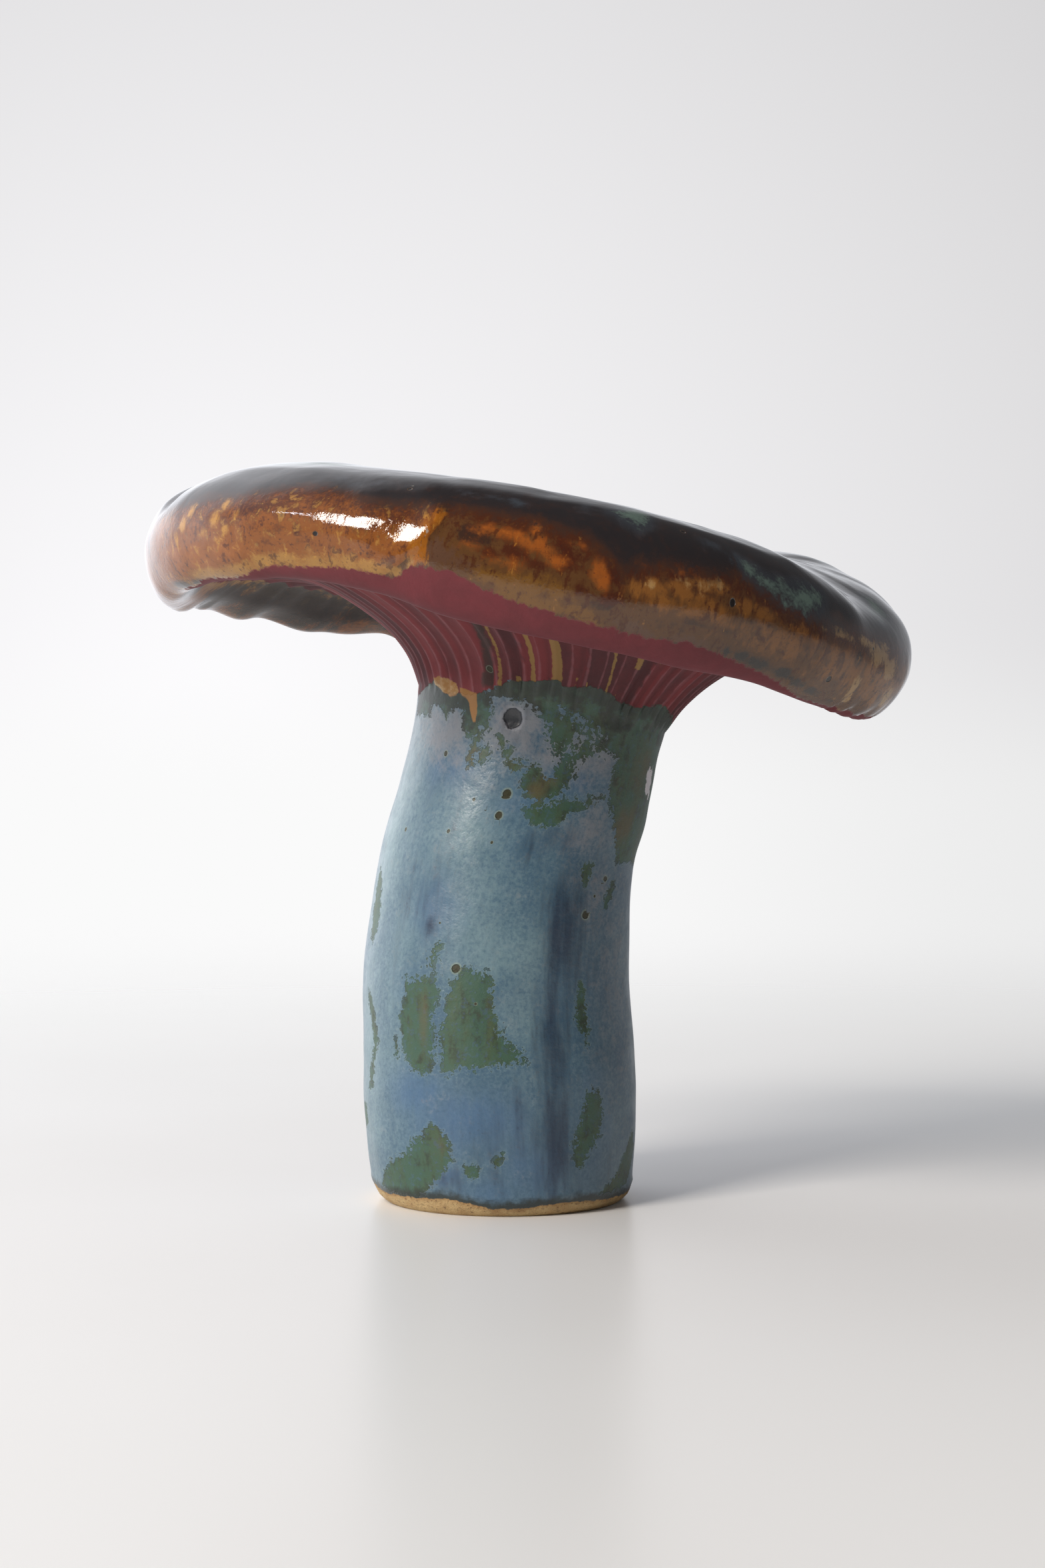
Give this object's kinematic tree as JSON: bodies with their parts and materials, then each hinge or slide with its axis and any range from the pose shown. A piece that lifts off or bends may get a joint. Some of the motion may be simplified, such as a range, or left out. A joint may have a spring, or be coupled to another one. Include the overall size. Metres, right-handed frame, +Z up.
{
  "type": "glazed ceramic mushroom figure",
  "caption": "Free-standing glazed stoneware mushroom with a leaning stem, a tipped wavy cap and carved gills, to stand on a shelf or table as an ornament.",
  "frame": {"origin": "centre of the flat foot, on the surface that the figure stands on", "axes": "+Z up, -Y towards the front that the picture shows, +X towards the lower side of the tipped cap"},
  "size_m": [0.1016, 0.0943, 0.0974],
  "materials": {
    "glazed_stoneware": "glossy dripping glazes, blue-grey and green on the stem, amber breaking to dark brown on the cap, satin rose on the gills, bare buff clay at the foot"
  },
  "bodies": {
    "root": {"ceramic_mushroom": "glazed_stoneware"}
  },
  "joints": []
}
